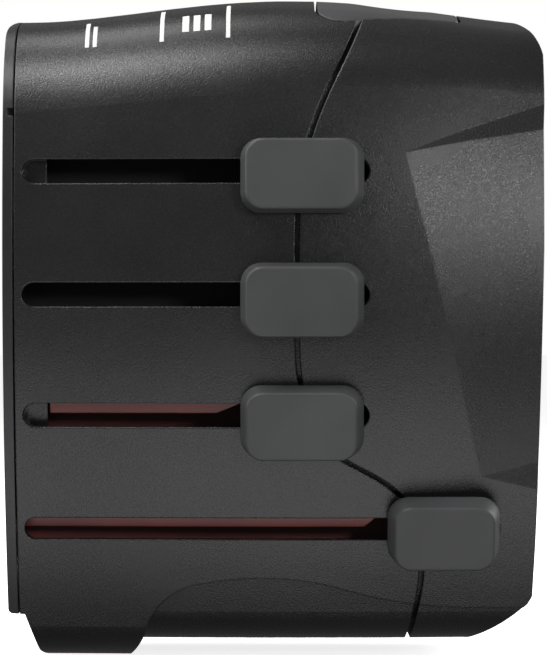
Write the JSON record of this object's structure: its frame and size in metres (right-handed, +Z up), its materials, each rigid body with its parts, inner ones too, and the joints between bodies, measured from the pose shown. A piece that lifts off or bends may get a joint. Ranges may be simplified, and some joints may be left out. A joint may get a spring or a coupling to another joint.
{
  "type": "universal travel adapter",
  "caption": "Hand-sized black travel adapter with slide-out plug sets worked by side knobs, a world socket face, a release button and a fuse cap.",
  "frame": {"origin": "middle of the bounding box at its base, under the foot of the case", "axes": "+X towards the world socket, -X towards the plug face, +Z up from the case's base to its release button, -Y towards the slider knobs"},
  "size_m": [0.0624, 0.061, 0.078],
  "materials": {
    "case": "fine spark-eroded grain, satin black",
    "face": "satin black end plates",
    "knob": "smooth matt dark grey",
    "button": "smooth satin dark grey",
    "inner": "plain moulded black",
    "plug_block": "satin black",
    "liner": "dark maroon moulding",
    "sleeves": "black insulating sleeve",
    "pins": "nickel-plated, fine brushed",
    "contacts": "stamped brass",
    "spring": "drawn spring wire",
    "screws": "zinc-plated",
    "fuse_glass": "clear tube",
    "fuse_metal": "nickel-plated end caps"
  },
  "bodies": {
    "case": {"plug_housing": "case", "socket_housing": "case", "plug_face": "face", "socket_face": "face", "guide_liner": "liner", "slot_screen": "inner", "contact_block": "inner", "line_contact": "contacts", "neutral_contact": "contacts", "earth_contact": "contacts", "fuse_body": "fuse_glass", "fuse_ends": "fuse_metal", "fuse_contact": "contacts", "release_spring": "spring", "case_screws": "screws"},
    "au_slider": {"au_carrier": "inner", "au_knob": "knob", "au_pins": "pins"},
    "us_slider": {"us_carrier": "inner", "us_knob": "knob", "us_pins": "pins"},
    "uk_slider": {"uk_carrier": "inner", "uk_knob": "knob", "uk_pins": "pins", "uk_pin_sleeves": "sleeves"},
    "euro_slider": {"euro_carrier": "plug_block", "euro_knob": "knob", "euro_pins": "pins"},
    "button": {"release_button": "button"},
    "fuse_cap": {"fuse_cap": "knob"}
  },
  "joints": [
    {"name": "au_slide", "type": "slide", "parent": "case", "child": "au_slider", "axis": [-1, 0, 0], "range_m": [0, 0.0253]},
    {"name": "us_slide", "type": "slide", "parent": "case", "child": "us_slider", "axis": [-1, 0, 0], "range_m": [0, 0.0253]},
    {"name": "uk_slide", "type": "slide", "parent": "case", "child": "uk_slider", "axis": [-1, 0, 0], "range_m": [0, 0.0253]},
    {"name": "euro_slide", "type": "slide", "parent": "case", "child": "euro_slider", "axis": [-1, 0, 0], "range_m": [0, 0.0415]},
    {"name": "release_press", "type": "slide", "parent": "case", "child": "button", "axis": [0, 0, -1], "range_m": [0, 0.0014], "stiffness_N_per_m": 600, "springref_m": -0.001, "deforming": ["release_spring"]},
    {"name": "fuse_cap_turn", "type": "hinge", "parent": "case", "child": "fuse_cap", "pos_m": [0.029, 0.018, 0.056], "axis": [1, 0, 0], "range_deg": [0, 90]}
  ]
}
